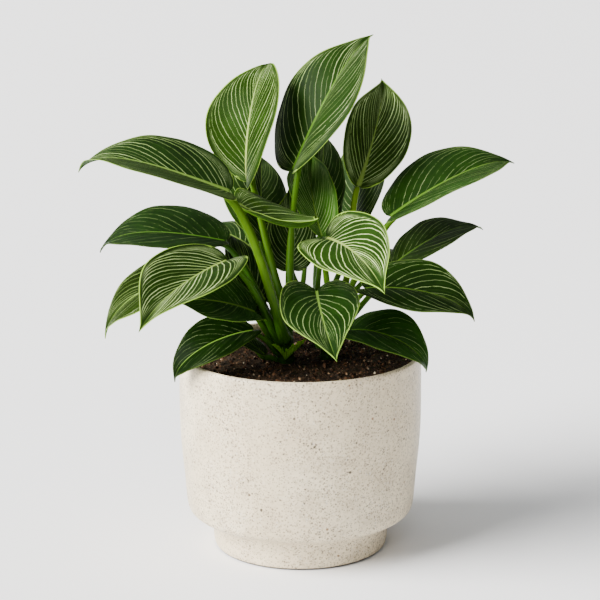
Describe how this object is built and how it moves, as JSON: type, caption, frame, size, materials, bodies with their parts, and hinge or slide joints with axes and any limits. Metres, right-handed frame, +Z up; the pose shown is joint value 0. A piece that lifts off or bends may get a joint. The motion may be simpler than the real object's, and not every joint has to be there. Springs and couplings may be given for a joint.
{
  "type": "potted philodendron",
  "caption": "Bushy houseplant with pointed, pinstriped oval and heart-shaped leaves on short stems, in a round stoneware pot with a stepped foot.",
  "frame": {"origin": "centre of the pot's flat foot, on the surface it stands on", "axes": "+Z up along the pot's axis, +Y away from the plant's front, +X to the viewer's right"},
  "size_m": [0.3208, 0.3069, 0.3774],
  "materials": {
    "pot_stoneware": "cream satin stoneware with fine grey-brown speckles",
    "potting_soil": "dark brown crumbly potting mix with a few pale grains",
    "stem": "smooth satin green",
    "sheath": "smooth satin bright green",
    "leaf_petiole": "smooth satin yellow-green",
    "leaf_blade": "waxy dark green with cream pinstripes"
  },
  "bodies": {
    "root": {"pot": "pot_stoneware", "soil": "potting_soil", "stem_a": "stem", "stem_b": "stem", "stem_c": "stem", "stem_d": "stem", "stem_a_sheath": "sheath", "leaf_01_blade": "leaf_blade", "leaf_01_petiole": "leaf_petiole", "leaf_02_blade": "leaf_blade", "leaf_02_petiole": "leaf_petiole", "leaf_03_blade": "leaf_blade", "leaf_03_petiole": "leaf_petiole", "leaf_04_blade": "leaf_blade", "leaf_04_petiole": "leaf_petiole", "leaf_05_blade": "leaf_blade", "leaf_05_petiole": "leaf_petiole", "leaf_06_blade": "leaf_blade", "leaf_06_petiole": "leaf_petiole", "leaf_07_blade": "leaf_blade", "leaf_07_petiole": "leaf_petiole", "leaf_08_blade": "leaf_blade", "leaf_08_petiole": "leaf_petiole", "leaf_09_blade": "leaf_blade", "leaf_09_petiole": "leaf_petiole", "leaf_10_blade": "leaf_blade", "leaf_10_petiole": "leaf_petiole", "leaf_11_blade": "leaf_blade", "leaf_11_petiole": "leaf_petiole", "leaf_12_blade": "leaf_blade", "leaf_12_petiole": "leaf_petiole", "leaf_13_blade": "leaf_blade", "leaf_13_petiole": "leaf_petiole", "leaf_14_blade": "leaf_blade", "leaf_14_petiole": "leaf_petiole", "leaf_15_blade": "leaf_blade", "leaf_15_petiole": "leaf_petiole", "leaf_16_blade": "leaf_blade", "leaf_16_petiole": "leaf_petiole", "leaf_17_blade": "leaf_blade", "leaf_17_petiole": "leaf_petiole", "leaf_18_blade": "leaf_blade", "leaf_18_petiole": "leaf_petiole", "leaf_19_blade": "leaf_blade", "leaf_19_petiole": "leaf_petiole", "leaf_20_blade": "leaf_blade", "leaf_20_petiole": "leaf_petiole", "leaf_21_blade": "leaf_blade", "leaf_21_petiole": "leaf_petiole", "leaf_22_blade": "leaf_blade", "leaf_22_petiole": "leaf_petiole", "leaf_23_blade": "leaf_blade", "leaf_23_petiole": "leaf_petiole", "leaf_24_blade": "leaf_blade", "leaf_24_petiole": "leaf_petiole", "leaf_25_blade": "leaf_blade", "leaf_25_petiole": "leaf_petiole", "leaf_26_blade": "leaf_blade", "leaf_26_petiole": "leaf_petiole"}
  },
  "joints": []
}
